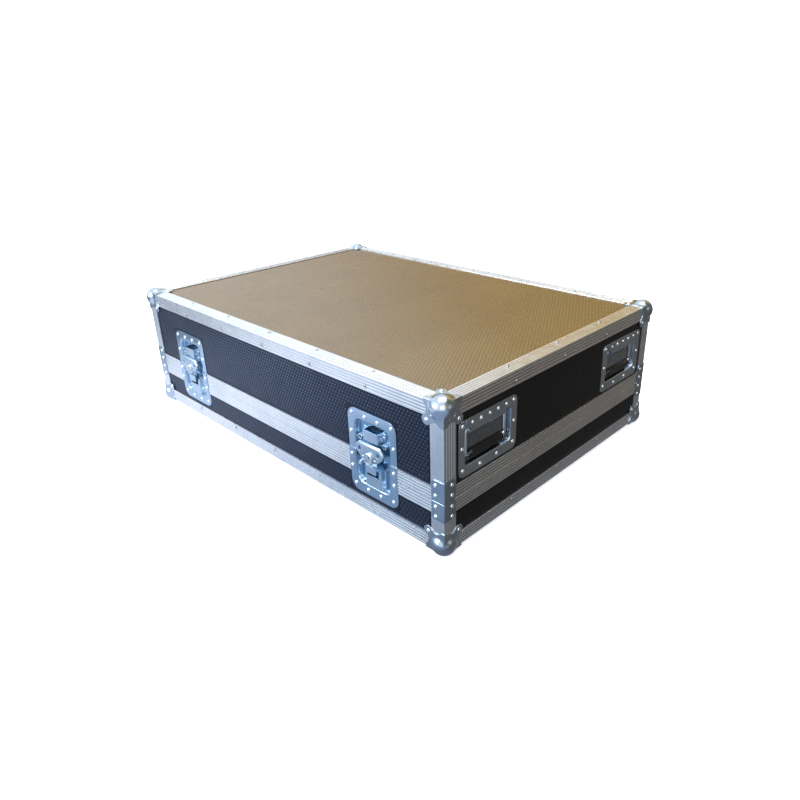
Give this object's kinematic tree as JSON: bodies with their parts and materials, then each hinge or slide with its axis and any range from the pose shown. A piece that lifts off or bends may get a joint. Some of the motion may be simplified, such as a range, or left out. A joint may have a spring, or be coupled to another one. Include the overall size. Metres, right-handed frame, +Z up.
{
  "type": "road case with lift-off lid",
  "caption": "Flight case for audio equipment: a deep lid lifts off a shallow tray, with aluminium edges, ball corners, recessed twist latches and recessed handles.",
  "frame": {"origin": "on the floor, under the middle of the case", "axes": "+X along the long side, to the right seen from the front; +Y from the front to the back; +Z up"},
  "size_m": [1.018, 0.7326, 0.306],
  "materials": {
    "bronze_panel": "phenolic-faced ply with a fine hex texture, semi-gloss bronze",
    "dark_panel": "phenolic-faced ply with a fine hex texture, semi-gloss black",
    "edge_aluminium": "ribbed extrusion, satin anodised",
    "corner_steel": "pressed and zinc plated, bright",
    "rivet_steel": "plated, bright",
    "dish_steel": "pressed and zinc plated, satin",
    "bail_steel": "plated rod, bright",
    "grip_rubber": "ribbed, matt black",
    "foam": "open-cell foam, matt charcoal"
  },
  "bodies": {
    "base": {"base_bottom_panel": "bronze_panel", "base_front_panel": "dark_panel", "base_back_panel": "dark_panel", "base_left_panel": "dark_panel", "base_right_panel": "dark_panel", "base_edge_angles": "edge_aluminium", "base_corner_angles": "edge_aluminium", "base_rim": "edge_aluminium", "base_ball_corners": "corner_steel", "base_corner_braces": "corner_steel", "base_rivets": "rivet_steel", "base_foam_floor": "foam", "base_foam_walls": "foam", "keeper_dish_front_left": "dish_steel", "keeper_dish_front_right": "dish_steel", "keeper_dish_back_right": "dish_steel", "keeper_dish_back_left": "dish_steel"},
    "lid": {"lid_top_panel": "bronze_panel", "lid_front_panel": "dark_panel", "lid_back_panel": "dark_panel", "lid_left_panel": "dark_panel", "lid_right_panel": "dark_panel", "lid_edge_angles": "edge_aluminium", "lid_corner_angles": "edge_aluminium", "lid_rim": "edge_aluminium", "lid_ball_corners": "corner_steel", "lid_corner_braces": "corner_steel", "lid_rivets": "rivet_steel", "lid_foam_top": "foam", "lid_foam_walls": "foam", "latch_springs": "rivet_steel", "latch_dish_front_left": "dish_steel", "latch_dish_front_right": "dish_steel", "latch_dish_back_right": "dish_steel", "latch_dish_back_left": "dish_steel", "handle_dish_right_front": "dish_steel", "handle_dish_right_back": "dish_steel", "handle_dish_left_back": "dish_steel", "handle_dish_left_front": "dish_steel"},
    "spindle_front_left": {"latch_spindle_front_left": "dish_steel"},
    "wing_front_left": {"latch_wing_front_left": "dish_steel"},
    "hook_front_left": {"latch_hook_front_left": "dish_steel"},
    "spindle_front_right": {"latch_spindle_front_right": "dish_steel"},
    "wing_front_right": {"latch_wing_front_right": "dish_steel"},
    "hook_front_right": {"latch_hook_front_right": "dish_steel"},
    "spindle_back_right": {"latch_spindle_back_right": "dish_steel"},
    "wing_back_right": {"latch_wing_back_right": "dish_steel"},
    "hook_back_right": {"latch_hook_back_right": "dish_steel"},
    "spindle_back_left": {"latch_spindle_back_left": "dish_steel"},
    "wing_back_left": {"latch_wing_back_left": "dish_steel"},
    "hook_back_left": {"latch_hook_back_left": "dish_steel"},
    "bail_right_front": {"handle_bail_right_front": "bail_steel", "handle_grip_right_front": "grip_rubber"},
    "bail_right_back": {"handle_bail_right_back": "bail_steel", "handle_grip_right_back": "grip_rubber"},
    "bail_left_back": {"handle_bail_left_back": "bail_steel", "handle_grip_left_back": "grip_rubber"},
    "bail_left_front": {"handle_bail_left_front": "bail_steel", "handle_grip_left_front": "grip_rubber"}
  },
  "joints": [
    {"name": "lid_lift", "type": "slide", "parent": "base", "child": "lid", "axis": [0, 0, 1], "range_m": [0, 0.35]},
    {"name": "latch_turn_front_left", "type": "hinge", "parent": "lid", "child": "spindle_front_left", "pos_m": [-0.325, -0.348, 0.137], "axis": [0, 1, 0], "range_deg": [0, 180]},
    {"name": "wing_fold_front_left", "type": "hinge", "parent": "spindle_front_left", "child": "wing_front_left", "pos_m": [-0.325, -0.3573, 0.137], "axis": [1, 0, 0], "range_deg": [0, 90], "stiffness_Nm_per_rad": 0.02, "springref_deg": -28.65},
    {"name": "hook_draw_front_left", "type": "slide", "parent": "lid", "child": "hook_front_left", "axis": [0, 0.7761, 0.6306], "range_m": [0, 0.00413]},
    {"name": "latch_turn_front_right", "type": "hinge", "parent": "lid", "child": "spindle_front_right", "pos_m": [0.325, -0.348, 0.137], "axis": [0, 1, 0], "range_deg": [0, 180]},
    {"name": "wing_fold_front_right", "type": "hinge", "parent": "spindle_front_right", "child": "wing_front_right", "pos_m": [0.325, -0.3573, 0.137], "axis": [1, 0, 0], "range_deg": [0, 90], "stiffness_Nm_per_rad": 0.02, "springref_deg": -28.65},
    {"name": "hook_draw_front_right", "type": "slide", "parent": "lid", "child": "hook_front_right", "axis": [0, 0.7761, 0.6306], "range_m": [0, 0.00413]},
    {"name": "latch_turn_back_right", "type": "hinge", "parent": "lid", "child": "spindle_back_right", "pos_m": [0.325, 0.348, 0.137], "axis": [0, -1, 0], "range_deg": [0, 180]},
    {"name": "wing_fold_back_right", "type": "hinge", "parent": "spindle_back_right", "child": "wing_back_right", "pos_m": [0.325, 0.3573, 0.137], "axis": [-1, 0, 0], "range_deg": [0, 90], "stiffness_Nm_per_rad": 0.02, "springref_deg": -28.65},
    {"name": "hook_draw_back_right", "type": "slide", "parent": "lid", "child": "hook_back_right", "axis": [0, -0.7761, 0.6306], "range_m": [0, 0.00413]},
    {"name": "latch_turn_back_left", "type": "hinge", "parent": "lid", "child": "spindle_back_left", "pos_m": [-0.325, 0.348, 0.137], "axis": [0, -1, 0], "range_deg": [0, 180]},
    {"name": "wing_fold_back_left", "type": "hinge", "parent": "spindle_back_left", "child": "wing_back_left", "pos_m": [-0.325, 0.3573, 0.137], "axis": [-1, 0, 0], "range_deg": [0, 90], "stiffness_Nm_per_rad": 0.02, "springref_deg": -28.65},
    {"name": "hook_draw_back_left", "type": "slide", "parent": "lid", "child": "hook_back_left", "axis": [0, -0.7761, 0.6306], "range_m": [0, 0.00413]},
    {"name": "handle_swing_right_front", "type": "hinge", "parent": "lid", "child": "bail_right_front", "pos_m": [0.49, -0.232, 0.226], "axis": [0, -1, 0], "range_deg": [0, 90]},
    {"name": "handle_swing_right_back", "type": "hinge", "parent": "lid", "child": "bail_right_back", "pos_m": [0.49, 0.232, 0.226], "axis": [0, -1, 0], "range_deg": [0, 90]},
    {"name": "handle_swing_left_back", "type": "hinge", "parent": "lid", "child": "bail_left_back", "pos_m": [-0.49, 0.232, 0.226], "axis": [0, 1, 0], "range_deg": [0, 90]},
    {"name": "handle_swing_left_front", "type": "hinge", "parent": "lid", "child": "bail_left_front", "pos_m": [-0.49, -0.232, 0.226], "axis": [0, 1, 0], "range_deg": [0, 90]}
  ],
  "couplings": [
    {"joint": "hook_draw_front_left", "follows": "latch_turn_front_left", "m_per_rad": 0.0013124},
    {"joint": "hook_draw_front_right", "follows": "latch_turn_front_right", "m_per_rad": 0.0013124},
    {"joint": "hook_draw_back_right", "follows": "latch_turn_back_right", "m_per_rad": 0.0013124},
    {"joint": "hook_draw_back_left", "follows": "latch_turn_back_left", "m_per_rad": 0.0013124}
  ]
}
